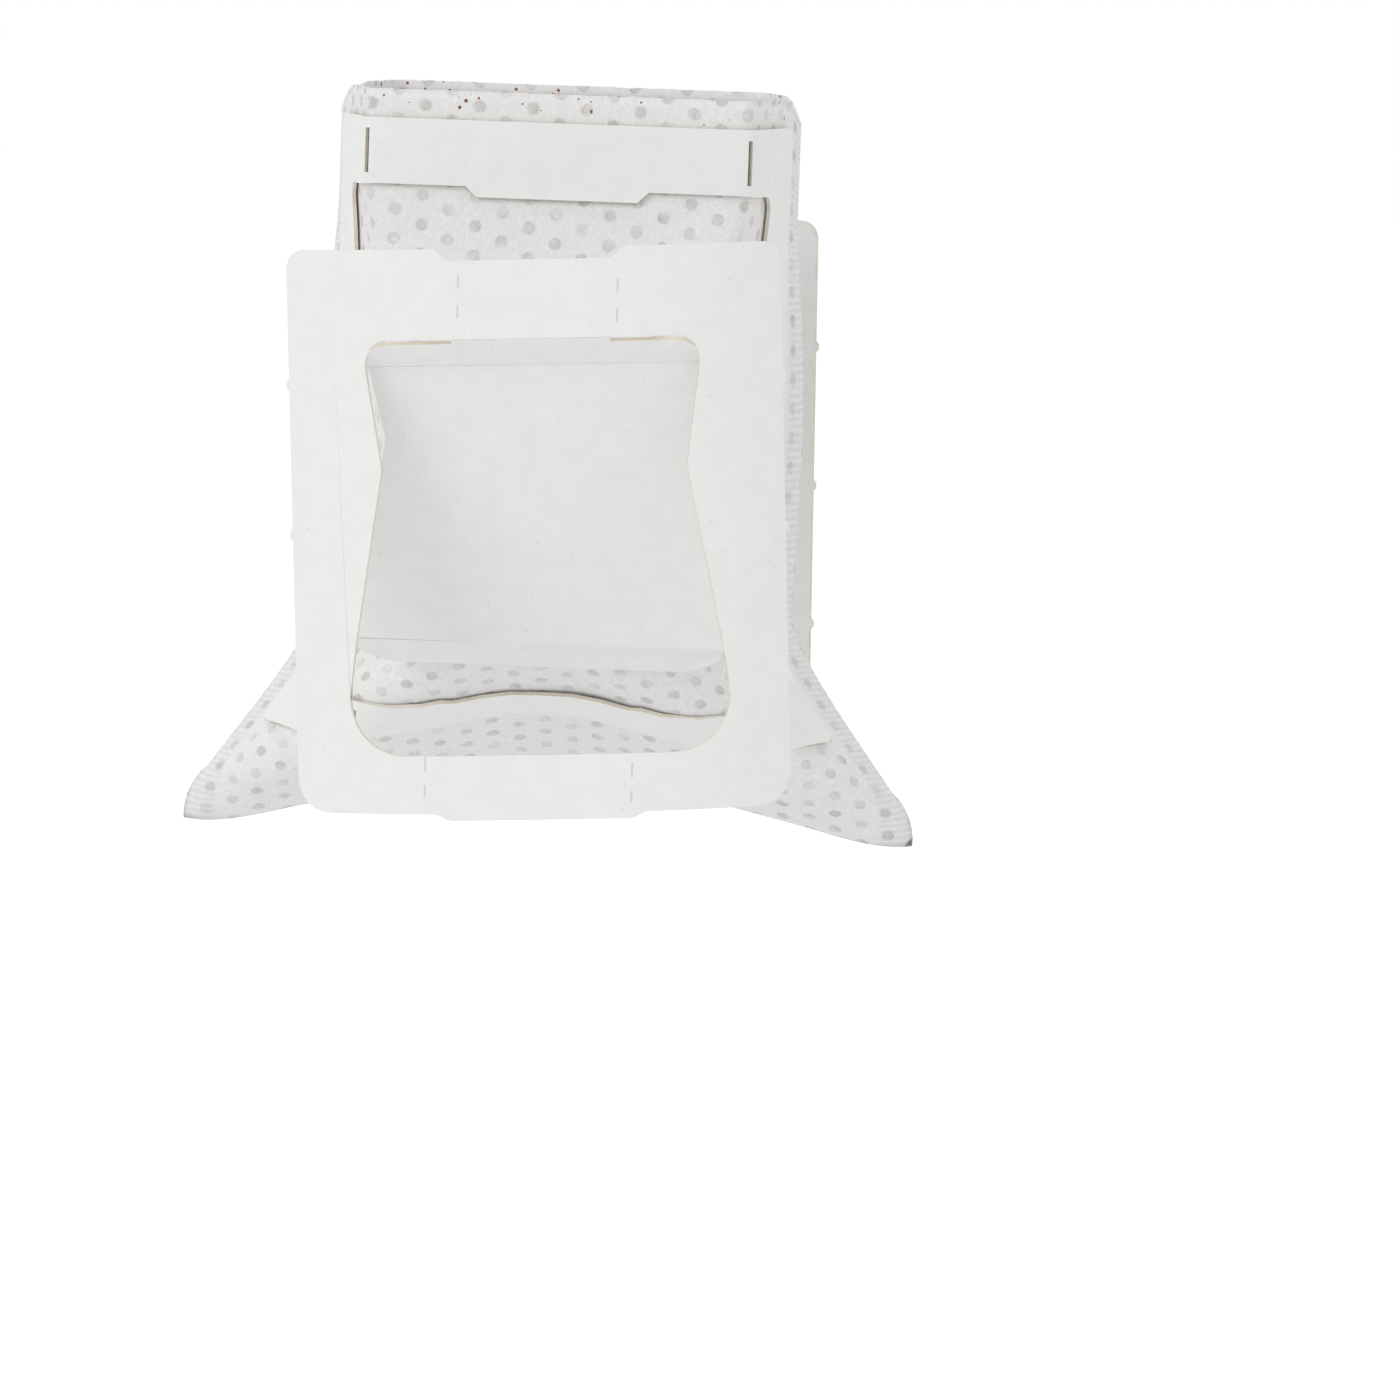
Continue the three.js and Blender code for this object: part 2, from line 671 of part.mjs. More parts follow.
function hookPlate(side, hang) {
  const half = plateHalfWidth;
  const legTop = webAboveHinge + shoulderCorner + joinMargin;
  const legEnd = openingEnd - armCorner - joinMargin;
  const upperWeb = symmetric([
    ...plateTopEdge(0),
    [half, legTop],
    [vaseHalfWidth(legTop - webAboveHinge), legTop],
    [shoulderHalfWidth, webAboveHinge, shoulderCorner],
  ]);
  const lowerWeb = symmetric([
    [bellyHalfWidth, openingEnd, armCorner],
    [bellyHalfWidth, legEnd],
    [half, legEnd],
    ...plateBottomEdge(plateHeight),
  ]);
  const nubs = spread(legTop + nubMargin, legEnd - nubMargin, 2).flatMap((place) => [
    [half, place - nubHalfLength],
    [half + nubReach, place - nubHalfLength / 2],
    [half + nubReach, place + nubHalfLength / 2],
    [half, place + nubHalfLength],
  ]);
  const leg = [
    [vaseHalfWidth(legTop - webAboveHinge), legTop],
    [half, legTop],
    ...nubs,
    [half, legEnd],
    [bellyHalfWidth, legEnd],
    [bellyHalfWidth, openingEnd - bellyAboveEnd],
    [neckHalfWidth, webAboveHinge + neckBelowHinge],
  ];
  const legs = [leg, mirror(leg)].map((corners) => new THREE.Shape(rounded(corners)));
  const bendLines = spread(plateFlat, half, plateSteps).slice(0, -1).flatMap((at) => [-at, at]);
  const pattern = cardPattern([upperWeb, ...legs, lowerWeb], [legTop, legEnd], bendLines, []);
  return bendPattern(pattern, side, (across, down, rise) => {
    const bent = Math.max(Math.abs(across) - plateFlat, 0) / plateBendRadius;
    const radius = plateBendRadius + rise;
    const x = Math.min(Math.abs(across), plateFlat) + radius * Math.sin(bent);
    const out = cupRadius + plateStandOff + rise - radius * (1 - Math.cos(bent));
    return roll(new THREE.Vector3(Math.sign(across) * x, side * out, plateTop - down), hang);
  });
}

function hookArm(side, hang) {
  const bodyTop = shoulderGap + shoulderCorner + joinMargin;
  const bodyEnd = armLength - armCorner - joinMargin;
  const shoulders = symmetric([
    [hingeHalfWidth, -rootOverlap],
    [hingeHalfWidth, shoulderGap],
    [vaseHalfWidth(shoulderGap), shoulderGap, shoulderCorner],
    [vaseHalfWidth(bodyTop), bodyTop],
  ]);
  const body = symmetric([
    [vaseHalfWidth(bodyTop), bodyTop],
    [neckHalfWidth, neckBelowHinge],
    [bellyHalfWidth, armLength - bellyAboveEnd],
    [bellyHalfWidth, bodyEnd],
  ]);
  const end = symmetric([
    [bellyHalfWidth, bodyEnd],
    [bellyHalfWidth, armLength, armCorner],
  ]);
  const ends = arm.pieces.map((_, i) => (
    arm.pieces.slice(0, i + 1).reduce((sum, piece) => sum + piece.length, 0)));
  const bendLines = [
    ...spread(ends[0], ends[1], armSteps),
    ...spread(ends[1], ends[2], armSteps).slice(1),
    ...spread(ends[2], ends[3], 2).slice(1),
  ];
  const pattern = cardPattern([shoulders, body, end], [bodyTop, bodyEnd], [], bendLines);
  return bendPattern(pattern, side, (across, down, rise) => {
    const { out, up, angle } = armAt(down);
    const lift = rise - card / 2;
    const point = new THREE.Vector3(
      across,
      side * (out - lift * Math.sin(angle)),
      up + lift * Math.cos(angle),
    );
    return roll(point, hang).lerp(roll(point, bagRoll), ease(down / armLength));
  });
}

function hook(side, hang) {
  return trianglesOf(solidOf(hookPlate(side, hang)).add(solidOf(hookArm(side, hang))));
}

const drip_coffee_bag = new THREE.Group();
drip_coffee_bag.add(
  meshOf(filterBag(), 'filter_bag', '#e9eaec', 0.95),
  meshOf(coffeeBed(), 'ground_coffee', '#3b2415', 1),
  meshOf(cardFrame(front), 'front_card_frame', '#efeeea', 0.8),
  meshOf(hook(front, frontHookRoll), 'front_hook', '#efeeea', 0.8),
  meshOf(cardFrame(rear), 'rear_card_frame', '#efeeea', 0.8),
  meshOf(hook(rear, rearHookRoll), 'rear_hook', '#efeeea', 0.8),
);

export default drip_coffee_bag;
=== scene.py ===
# %% [markdown]
# A hanging drip coffee bag, torn open, with its two card hooks folded out over a rim. It has three real
# materials: a thin non-woven fabric, die-cut white paperboard and ground coffee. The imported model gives
# each piece its shape and place. Here the cloth is made again as a true sheet and the hooks as finer
# boards, and every piece gets the finish of the real one.

# %% Load the model
import math
import random

import bmesh
import bpy
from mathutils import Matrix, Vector, noise
from mathutils.bvhtree import BVHTree


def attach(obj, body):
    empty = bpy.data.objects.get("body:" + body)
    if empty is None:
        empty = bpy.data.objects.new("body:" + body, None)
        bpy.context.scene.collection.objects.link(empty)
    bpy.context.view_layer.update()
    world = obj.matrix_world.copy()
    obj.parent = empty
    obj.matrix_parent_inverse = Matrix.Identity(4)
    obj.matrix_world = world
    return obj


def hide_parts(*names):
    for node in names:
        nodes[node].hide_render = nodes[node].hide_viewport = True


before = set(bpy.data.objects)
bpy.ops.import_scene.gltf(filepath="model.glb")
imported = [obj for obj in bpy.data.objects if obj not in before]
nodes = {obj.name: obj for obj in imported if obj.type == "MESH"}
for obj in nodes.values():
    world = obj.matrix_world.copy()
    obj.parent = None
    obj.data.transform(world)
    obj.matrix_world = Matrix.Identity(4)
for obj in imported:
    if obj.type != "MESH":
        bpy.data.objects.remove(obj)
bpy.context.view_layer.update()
mm = 0.001
print("nodes", sorted(nodes))


def new_object(name, data):
    made = bpy.data.objects.new(name, data)
    bpy.context.scene.collection.objects.link(made)
    return made


def mesh_of(name, shape):
    """Makes a mesh of the shape and lets the shape go."""
    mesh = bpy.data.meshes.new(name)
    shape.to_mesh(mesh)
    shape.free()
    return mesh


# %% [markdown]
# A long lens far away keeps the two hooks almost the same size, as in a product photo. The camera stands
# 1 m off, a little to the right of the front and 48 mm above the rim, and looks down on the hooks.

# %% Camera
camera_place = Vector((62.8, -998.0, 48.2)) * mm
looks_at = Vector((13.9, 0.9, -36.5)) * mm
lens_data = bpy.data.cameras.new("product_camera")
lens_data.lens = 253.5
lens_data.sensor_width = 36.0
lens_data.clip_start = 0.01
camera = new_object("product_camera", lens_data)
camera.location = camera_place
camera.rotation_euler = (looks_at - camera_place).to_track_quat("-Z", "Y").to_euler()
bpy.context.scene.camera = camera
print("camera", [round(value, 4) for value in camera.rotation_euler])

# %% [markdown]
# Colours are written as sRGB hex, as a maker would quote them, and one function turns them to the linear
# values that Blender's shaders need.


# %% Colour and node helpers
def linear(hex_colour):
    channels = [int(hex_colour[i : i + 2], 16) / 255 for i in (1, 3, 5)]
    return [c / 12.92 if c <= 0.04045 else ((c + 0.055) / 1.055) ** 2.4 for c in channels] + [1.0]


def add_node(material, kind, links=None, values=None, **settings):
    """Adds a node with its settings, the sockets that feed it and the numbers in its other sockets."""
    node = material.node_tree.nodes.new(kind)
    for name, value in settings.items():
        setattr(node, name, value)
    for socket, value in (values or {}).items():
        node.inputs[socket].default_value = value
    for socket, source in (links or {}).items():
        material.node_tree.links.new(source, node.inputs[socket])
    return node


def computed(material, operation, *operands):
    """What a Math node makes of its operands, each a socket or a plain number."""
    links = {i: operand for i, operand in enumerate(operands) if isinstance(operand, bpy.types.NodeSocket)}
    values = {i: operand for i, operand in enumerate(operands) if i not in links}
    return add_node(material, "ShaderNodeMath", links, values, operation=operation).outputs["Value"]


def ranged(material, value, start, end, low=0.0, high=1.0, **settings):
    """Carries a value from the span start to end over to the span low to high, and keeps it in there."""
    span = {"From Min": start, "From Max": end, "To Min": low, "To Max": high}
    return add_node(material, "ShaderNodeMapRange", {"Value": value}, span, **settings).outputs["Result"]


def mixed(material, factor, under, over):
    """The colour under where the factor is 0 and the hex colour over where it is 1."""
    links, values = {"Factor": factor}, {"B": linear(over)}
    if isinstance(under, str):
        values["A"] = linear(under)
    else:
        links["A"] = under
    return add_node(material, "ShaderNodeMix", links, values, data_type="RGBA").outputs["Result"]


def new_material(name):
    material = bpy.data.materials.new(name)
    material.use_nodes = True
    return material, material.node_tree.nodes["Principled BSDF"]


def feed(material, source, shader, socket):
    material.node_tree.links.new(source, shader.inputs[socket])


# %% [markdown]
# Paperboard for hooks is bleached board, calendered but not glossy. The eye sees a nearly white, dull
# face with faint cloudy fibres and a few specks, and, where the die cut it, a slightly creamy core.
# The clouds are 2 mm wide and the fibres 0.25 mm, drawn a little coarser than real pulp so that they show.


# %% Paperboard
# How each hook hangs: the angle it is rolled by and the height that it is rolled about, in millimetres
front_hang = (math.radians(-1.2), -12.0)
rear_hang = (math.radians(1), -12.0)
dash_half_width = 0.1


def paperboard(name, face_colour, cloud_colour, perforations=()):
    material, shader = new_material(name)
    place = add_node(material, "ShaderNodeTexCoord").outputs["Object"]
    clouds = add_node(material, "ShaderNodeTexNoise", {"Vector": place}, {"Scale": 500.0, "Detail": 3.0})
    fibres = add_node(material, "ShaderNodeTexNoise", {"Vector": place}, {"Scale": 4000.0, "Detail": 4.0})
    specks = add_node(
        material, "ShaderNodeTexVoronoi", {"Vector": place}, {"Scale": 420.0, "Randomness": 1.0}
    )
    speck = ranged(material, specks.outputs["Distance"], 0.035, 0.06, 0.22, 0.0)
    share = ranged(material, clouds.outputs["Fac"], 0.35, 0.65)
    face = mixed(material, share, face_colour, cloud_colour)
    colour = mixed(material, speck, face, "#9b9286")
    if perforations:
        # Painted shade: the perforation slits are not cut in the board, so a grey dash stands for the shade
        # inside each slit
        colour = mixed(material, slit_shade_mask(material, place, perforations), colour, "#dad8d3")
    bump = add_node(
        material,
        "ShaderNodeBump",
        {"Height": fibres.outputs["Fac"]},
        {"Strength": 0.12, "Distance": 0.00004},
    )
    feed(material, colour, shader, "Base Color")
    feed(material, bump.outputs["Normal"], shader, "Normal")
    shader.inputs["Roughness"].default_value = 0.62
    shader.inputs["IOR"].default_value = 1.5
    shader.inputs["Specular IOR Level"].default_value = 0.3
    return material


def slit_shade_mask(material, place, perforations):
    """1 on short upright dashes of painted shade where the real perforation slits are, each given as its
    distance from the middle and its two heights.
    """
    angle, level = front_hang
    turned = add_node(
        material,
        "ShaderNodeVectorRotate",
        {"Vector": place},
        {"Center": (0, 0, level * mm), "Axis": (0, 1, 0), "Angle": angle},
    )
    parts = add_node(material, "ShaderNodeSeparateXYZ", {"Vector": turned.outputs["Vector"]}).outputs
    distance = computed(material, "ABSOLUTE", parts["X"])
    mask = None
    for out, low, high in perforations:
        wide = computed(material, "COMPARE", distance, out * mm, dash_half_width * mm)
        tall = computed(material, "COMPARE", parts["Z"], (low + high) / 2 * mm, (high - low) / 2 * mm)
        dash = computed(material, "MULTIPLY", wide, tall)
        mask = dash if mask is None else computed(material, "MAXIMUM", mask, dash)
    return mask


# Painted shade of the real perforation slits on the hook's plate: distance from the middle, lowest and
# highest point of each dash, in mm
plate_slit_shades = [(7.75, 7.2, 8.45), (7.75, 4.3, 5.55), (10.1, -40.0, -38.55), (10.1, -42.5, -41.3)]
card_face = paperboard("bleached_paperboard", "#f2f2f1", "#efefee")
hook_face = paperboard("bleached_paperboard_painted_slit_shade", "#f2f2f1", "#efefee", plate_slit_shades)
card_core = paperboard("die_cut_paperboard_core", "#e6dfcf", "#ddd4c2")
print("paperboard", card_face.name, hook_face.name, card_core.name)


# %% [markdown]
# The two frames keep the shape that the model gives them. A copy of each mesh is merged, so that it can
# be shaded smoothly where it is bent, and the faces that the die cut get the creamy core. A face belongs
# to the broad side where the other side of the card lies just behind it.


# %% Card frames
sharp_angle = math.radians(35)


def merged_copy(name, node_name):
    mesh = nodes[node_name].data.copy()
    shape = bmesh.new()
    shape.from_mesh(mesh)
    bmesh.ops.remove_doubles(shape, verts=shape.verts, dist=0.002 * mm)
    shape.to_mesh(mesh)
    shape.free()
    mesh.materials.clear()
    if "custom_normal" in mesh.attributes:
        mesh.attributes.remove(mesh.attributes["custom_normal"])
    mesh.name = name
    return new_object(name, mesh)


def card_frame(name, node_name):
    piece = merged_copy(name, node_name)
    shape = bmesh.new()
    shape.from_mesh(piece.data)
    tree = BVHTree.FromBMesh(shape)
    just_inside = 0.01 * mm
    thickest = 0.6 * mm
    for face in shape.faces:
        face.smooth = True
        middle = face.calc_center_median() - face.normal * just_inside
        hit = tree.ray_cast(middle, -face.normal, thickest)
        face.material_index = 0 if hit[0] is not None else 1
    shape.to_mesh(piece.data)
    shape.free()
    piece.data.set_sharp_from_angle(angle=sharp_angle)
    piece.data.materials.append(card_face)
    piece.data.materials.append(card_core)
    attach(piece, "root")
    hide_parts(node_name)
    print(name, len(piece.data.polygons), "faces")


card_frame("front_frame", "front_card_frame")
card_frame("rear_frame", "rear_card_frame")

# %% [markdown]
# The bag is one strip of fabric, 74 mm wide, folded at the bottom and welded along both sides. It is
# laid out flat as a grid, as the maker cuts it, and each point is then carried to its place on the open
# bag. Its level section is flat in the middle, turns in an arc at the card's fold lines and runs straight
# to the seam, and the walls swell to the belly where the feet of the hooks pull them out.

# %% Sizes of the bag in millimetres, as in the part
fabric = 0.3
half_width = 37.0
height = 84.0
mouth_above_rim = 25.5
mouth_half_depth = 18.3
belly_half_depth = 26.6
belly_at = 53.6
belly_rounding = 2.5
slack = 0.45
fold_line = 18.6
fold_length = 1.2
soft_length = 11.0
soft_from = 40.0
band_end = 9.5
corner_start = 28.0
corner_drop = 2.6
corner_fade = 20.0
closing_curve = 1.2
least_turn = 0.0005
least_spare = 0.01
search_steps = 40
# The bag hangs a little crooked: the angle it is rolled by and the height that it is rolled about
bag_roll = (math.radians(2), -3.0)


def clamp(value):
    return min(max(value, 0.0), 1.0)


def ease(value):
    return clamp(value) ** 2 * (3 - 2 * clamp(value))


def mix(start, end, share):
    return start + (end - start) * share


def half_depth(down):
    """Half the depth of the bag at a distance down from its mouth."""
    below_band = max(down - band_end, 0)
    outward = mix(mouth_half_depth, belly_half_depth, below_band / (belly_at - band_end))
    inward = fabric + (belly_half_depth - fabric) * (height - down) / (height - belly_at)
    share = clamp(0.5 + (outward - inward) / (2 * belly_rounding))
    return max(mix(outward, inward, share) - belly_rounding * share * (1 - share), fabric)


def seam_out(down):
    """Distance from the middle out to the welded seam."""
    side = half_width - fold_line
    mouth = fold_line + math.sqrt(side**2 - (mouth_half_depth - fabric) ** 2)
    return mix(mouth, half_width, clamp((down - belly_at) / (height - belly_at)) ** closing_curve)


def turn_for(flat, bend, reach):
    """Angle that a wall turns through to reach the other wall at the seam."""
    low, high = least_turn, math.pi / 2
    for _ in range(search_steps):
        turn = (low + high) / 2
        reached = bend / turn * (1 - math.cos(turn)) + (half_width - flat - bend) * math.sin(turn)
        low, high = (turn, high) if reached < reach else (low, turn)
    return (low + high) / 2


levels = {}


def level_at(down):
    key = round(down, 3)
    if key not in levels:
        depth, seam = half_depth(down), seam_out(down)
        bend = mix(fold_length, soft_length, ease((down - band_end) / (soft_from - band_end)))
        spare = max(half_width - seam, least_spare)
        turning = (half_width**2 - seam**2 - (depth - fabric) ** 2) / (2 * spare)
        flat = min(max(turning - bend / 2, 0), half_width - bend - 1)
        levels[key] = (flat, bend, turn_for(flat, bend, depth - fabric), depth)
    return levels[key]


def section_point(across, down):
    """Where a point of the flat wall comes to lie, out to the side and forward of the seams."""
    flat, bend, turn, depth = level_at(down)
    length = abs(across)
    bent = min(max(length - flat, 0), bend) / bend * turn
    rest = max(length - flat - bend, 0)
    out = min(length, flat) + bend / turn * math.sin(bent) + rest * math.cos(turn)
    back = bend / turn * (1 - math.cos(bent)) + rest * math.sin(turn)
    return math.copysign(out, across), depth - back


def traced(across, downs):
    """Height lost down to each distance, so that the fabric keeps its length."""
    drops, drop = [], 0.0
    last, last_down = section_point(across, 0), 0.0
    for down in downs:
        here = section_point(across, down)
        sideways = (here[0] - last[0]) ** 2 + (here[1] - last[1]) ** 2
        run = down - last_down
        drop += math.sqrt(max(run * run - sideways, 0))
        drops.append(drop)
        last, last_down = here, down
    return drops


def torn(across, down):
    """The mouth was torn off in a line that drops towards the seams."""
    beyond = max(abs(across) - corner_start, 0) / (half_width - corner_start)
    return down + corner_drop * beyond**2 * max(1 - down / corner_fade, 0)


def rolled(point, angle, level):
    rise = point.z - level
    return Vector((
        point.x * math.cos(angle) + rise * math.sin(angle),
        point.y,
        level + rise * math.cos(angle) - point.x * math.sin(angle),
    ))


print("half depth at the belly", round(half_depth(belly_at), 2), "mm")

# %% [markdown]
# A grid of cells about 0.7 by 1 mm is fine enough for the sharp turns at the fold lines. Its UV map is the
# flat cut in millimetres, so a dot that the maker pressed 5.35 mm from the next stays 5.35 mm from it when
# the bag is opened. The cloth also gets shallow waves below the band, where nothing holds it flat. Real
# fabric is thinner than the solid's wall, so the sheet is thin and lies out against the card.

# %% Filter bag
columns = 104
rows = 84
cloth_thickness = 0.16
cloth_lean = 0.3
merge_distance = 0.02
wave_height = 0.28
wave_across = 11.0
wave_down = 17.0
held_by_band = 12.0
held_by_bottom = 14.0
fray_height = 0.12
fray_pitch = 1.9
fray_depth = 3.0
# Places in the noise that give the two walls waves and torn edges of their own
wave_place = 5.0
fray_place = 9.0


def wave(across, down, side):
    """How far the cloth swells in or out where neither the card nor the bottom fold holds it flat."""
    free = ease((down - band_end) / held_by_band) * ease((height - down) / held_by_bottom)
    place = Vector((across / wave_across, down / wave_down, side * wave_place))
    return noise.noise(place) * wave_height * free


def fray(across, down, side):
    """How far the torn edge strays from its line."""
    place = Vector((across * fray_pitch, side * fray_place, 0))
    return noise.noise(place) * fray_height * max(1 - down / fray_depth, 0)


def bag_sheet():
    shape = bmesh.new()
    bmesh.ops.create_grid(shape, x_segments=columns, y_segments=2 * rows, size=1.0)
    flat_cut = shape.loops.layers.uv.new("flat_cut")
    for face in shape.faces:
        face.smooth = True
        for loop in face.loops:
            loop[flat_cut].uv = (loop.vert.co.x * half_width, loop.vert.co.y * height)
    by_column = {}
    for vert in shape.verts:
        column = round((vert.co.x + 1) / 2 * columns)
        side = -1 if vert.co.y > 0 else 1
        by_column.setdefault((column, side), []).append(vert)
    for (column, side), verts in by_column.items():
        across = (column / columns * 2 - 1) * half_width
        verts.sort(key=lambda vert: -abs(vert.co.y))
        downs = [torn(across, (1 - abs(vert.co.y)) * height) for vert in verts]
        own, centre = traced(across, downs), traced(0.0, downs)
        for vert, down, drop, middle_drop in zip(verts, downs, own, centre):
            x, y = section_point(across, down)
            z = mouth_above_rim - mix(drop, middle_drop, slack)
            y = max(y + wave(across, down, side), fabric / 2) if column not in (0, columns) else 0.0
            point = Vector((x, side * y, z + fray(across, down, side)))
            vert.co = rolled(point, *bag_roll) * mm
    bmesh.ops.remove_doubles(shape, verts=shape.verts, dist=merge_distance * mm)
    return mesh_of("welded_filter_bag", shape)


bag = new_object("welded_filter_bag", bag_sheet())
lean = bag.modifiers.new("lies_against_the_card", "DISPLACE")
lean.strength = cloth_lean * mm
lean.mid_level = 0.0
wall = bag.modifiers.new("fabric_thickness", "SOLIDIFY")
wall.thickness = cloth_thickness * mm
wall.offset = -1.0
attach(bag, "root")
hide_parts("filter_bag")
print("filter bag", len(bag.data.polygons), "cells")

# %% [markdown]
# The fabric is a spun-bonded non-woven of polypropylene, pressed by a hot roller with round pins. The eye
# sees a soft white web with long upright fibres, and rows of small dull dots where the pins melted it.
# The dots are 1.3 mm wide, 5.35 mm apart along a row, with rows 1.5 mm apart and every second row moved by
# half a step. Single fibres are 0.02 mm, too fine to show, so streaks about 0.2 mm wide stand for them.


# %% Non-woven fabric
dot_step = 5.35
row_step = 1.5
dot_core = 0.5
dot_rim = 0.75
weld_width = 3.2
weld_full = 2.9


def dot_distance(material, flat, shift):
    """Distance to the nearest pin mark of one set of rows, every second row, in millimetres."""
    cell = add_node(
        material,
        "ShaderNodeMapping",
        {"Vector": flat},
        {"Location": shift, "Scale": (1 / dot_step, 1 / (2 * row_step), 0)},
    )
    part = add_node(
        material, "ShaderNodeVectorMath", {0: cell.outputs["Vector"]}, operation="FRACTION"
    )
    centred = add_node(
        material,
        "ShaderNodeVectorMath",
        {0: part.outputs["Vector"]},
        {1: (dot_step, 2 * row_step, 0), 2: (-dot_step / 2, -row_step, 0)},
        operation="MULTIPLY_ADD",
    )
    return add_node(
        material, "ShaderNodeVectorMath", {0: centred.outputs["Vector"]}, operation="LENGTH"
    ).outputs["Value"]


def fibre_layer(material, flat, turn):
    """Fibres of one direction, in degrees from upright, as long soft streaks."""
    turned = add_node(
        material,
        "ShaderNodeMapping",
        {"Vector": flat},
        {"Rotation": (0, 0, math.radians(turn)), "Location": (turn, 0, 0)},
    ).outputs["Vector"]
    stretched = add_node(
        material, "ShaderNodeMapping", {"Vector": turned}, {"Scale": (1.0, 0.22, 1.0)}
    ).outputs["Vector"]
    return add_node(
        material,
        "ShaderNodeTexNoise",
        {"Vector": stretched},
        {"Scale": 4.6, "Detail": 4.0, "Roughness": 0.65, "Distortion": 0.9},
    ).outputs["Fac"]


def fabric_material():
    material, shader = new_material("spunbonded_nonwoven")
    flat = add_node(material, "ShaderNodeUVMap", uv_map="flat_cut").outputs["UV"]
    two_sets = [dot_distance(material, flat, shift) for shift in ((0, 0, 0), (0.5, 0.5, 0))]
    nearest = computed(material, "MINIMUM", *two_sets)
    dot = ranged(material, nearest, dot_core, dot_rim, 1.0, 0.0, interpolation_type="SMOOTHSTEP")
    upright, right_leaning, left_leaning = [fibre_layer(material, flat, turn) for turn in (0.0, 38.0, -47.0)]
    leaning = computed(material, "MAXIMUM", right_leaning, left_leaning)
    streaks = computed(material, "MAXIMUM", upright, leaning)
    web_colour = mixed(material, ranged(material, streaks, 0.48, 0.72), "#e9e8e7", "#f8f8f8")
    # A dot shows less where the roller pressed weakly and where fibres cross over it
    cloudy = add_node(
        material, "ShaderNodeTexNoise", {"Vector": flat}, {"Scale": 0.35, "Detail": 3.0}
    ).outputs["Fac"]
    worn = ranged(material, cloudy, 0.35, 0.65, 0.25, 0.85)
    crossed = ranged(material, streaks, 0.5, 0.75, 1.0, 0.35)
    shown = computed(material, "MULTIPLY", computed(material, "MULTIPLY", dot, worn), crossed)
    dotted = mixed(material, shown, web_colour, "#bfbdba")
    # The weld along each seam is ribbed across
    parts = add_node(material, "ShaderNodeSeparateXYZ", {"Vector": flat}).outputs
    from_middle = computed(material, "ABSOLUTE", parts["X"])
    weld = ranged(material, from_middle, half_width - weld_width, half_width - weld_full)
    ribs = add_node(
        material,
        "ShaderNodeTexWave",
        {"Vector": flat},
        {"Scale": 0.4, "Distortion": 0.6},
        bands_direction="Y",
    ).outputs["Fac"]
    rib_shade = computed(material, "MULTIPLY", computed(material, "MULTIPLY", weld, ribs), 0.22)
    welded = mixed(material, rib_shade, dotted, "#b4b5b8")
    dusted = mixed(material, coffee_dust(material, flat, parts["Y"]), welded, "#8a5636")
    relief = computed(material, "ADD", streaks, computed(material, "MULTIPLY", dot, -0.9))
    bump = add_node(
        material, "ShaderNodeBump", {"Height": relief}, {"Strength": 0.45, "Distance": 0.00012}
    )
    feed(material, dusted, shader, "Base Color")
    feed(material, bump.outputs["Normal"], shader, "Normal")
    shader.inputs["Roughness"].default_value = 0.8
    shader.inputs["Specular IOR Level"].default_value = 0.25
    shader.inputs["Sheen Weight"].default_value = 0.15
    shader.inputs["Sheen Roughness"].default_value = 0.5
    return material


def coffee_dust(material, flat, from_fold):
    """Specks of coffee that cling to the fabric at random, in 0.6 mm cells, most of them by the mouth."""
    cells = add_node(
        material, "ShaderNodeTexVoronoi", {"Vector": flat}, {"Scale": 1.6, "Randomness": 1.0}
    ).outputs
    chosen = add_node(material, "ShaderNodeSeparateColor", {"Color": cells["Color"]}).outputs["Red"]
    height_up = computed(material, "ABSOLUTE", from_fold)
    by_mouth = ranged(material, height_up, height - 4.5, height - 0.5, 0.0, 0.2)
    size = ranged(material, computed(material, "ADD", chosen, by_mouth), 0.97, 1.2, 0.0, 0.42)
    return computed(material, "LESS_THAN", cells["Distance"], size)


bag.data.materials.append(fabric_material())
print("fabric", bag.data.materials[0].name)

# %% [markdown]
# A hook is die-cut flat and folded. Its plate is a board with a vase-shaped window, and the board out of
# that window is the arm, which stays joined to the plate along the hinge, lies over the rim and ends in a
# foot on the bag. Each outline starts from its corner points, the corners are rounded by a bevel, and
# the filled sheet is cut along fine bend lines before it is carried to its folded place.

# %% Sizes of the hooks in millimetres, as in the part
card = 0.38
rim_radius = 44.0
plate_half = 25.2
plate_flat = 6.0
plate_bend = 30.0
stand_off = 0.6
web = 8.8
lower_web = 5.7
arm_length = 40.543
hinge_height = 2.5
shoulder_half = 16.8
neck_half = 14.9
neck_down = 12.6
belly_half = 18.8
belly_up = 7.0
foot_corner = 5.5
hinge_half = 7.75
shoulder_gap = 0.5
shoulder_clearance = 0.08
root_overlap = 0.2
plate_top_corner = 2.0
plate_bottom_corner = 3.5
shoulder_corner = 3.0
belly_corner = 6.0
small_corner = 0.4
notch_half = 8.0
notch_depth = 1.15
notch_flare = 1.15
tab_half = 9.0
tab_depth = 0.65
tab_flare = 1.2
nub_reach = 0.35
nub_half = 0.6
nub_top_half = 0.3
first_nub = 4.4
last_nub = 6.9
corner_steps = 10
plate_steps = 13
plate_edge = 1.0
root_steps, rim_steps, crease_steps = 6, 12, 4
on_line = 2e-3
cut_close = 1e-4
plate_height = web + arm_length + lower_web
opening_end = web + arm_length
# Lengths and turns of the arm from the hinge: to the rim, over it, down to the crease, the crease, the foot
arm_start = -2.48587
arm_runs = [(4.1034, 0.0), (0.85574, 0.45277), (30.8381, 0.0), (0.50255, -0.50255), (4.2433, 0.0)]


def mirrored(corners):
    return corners + [(-across, down, radius) for across, down, radius in reversed(corners)]


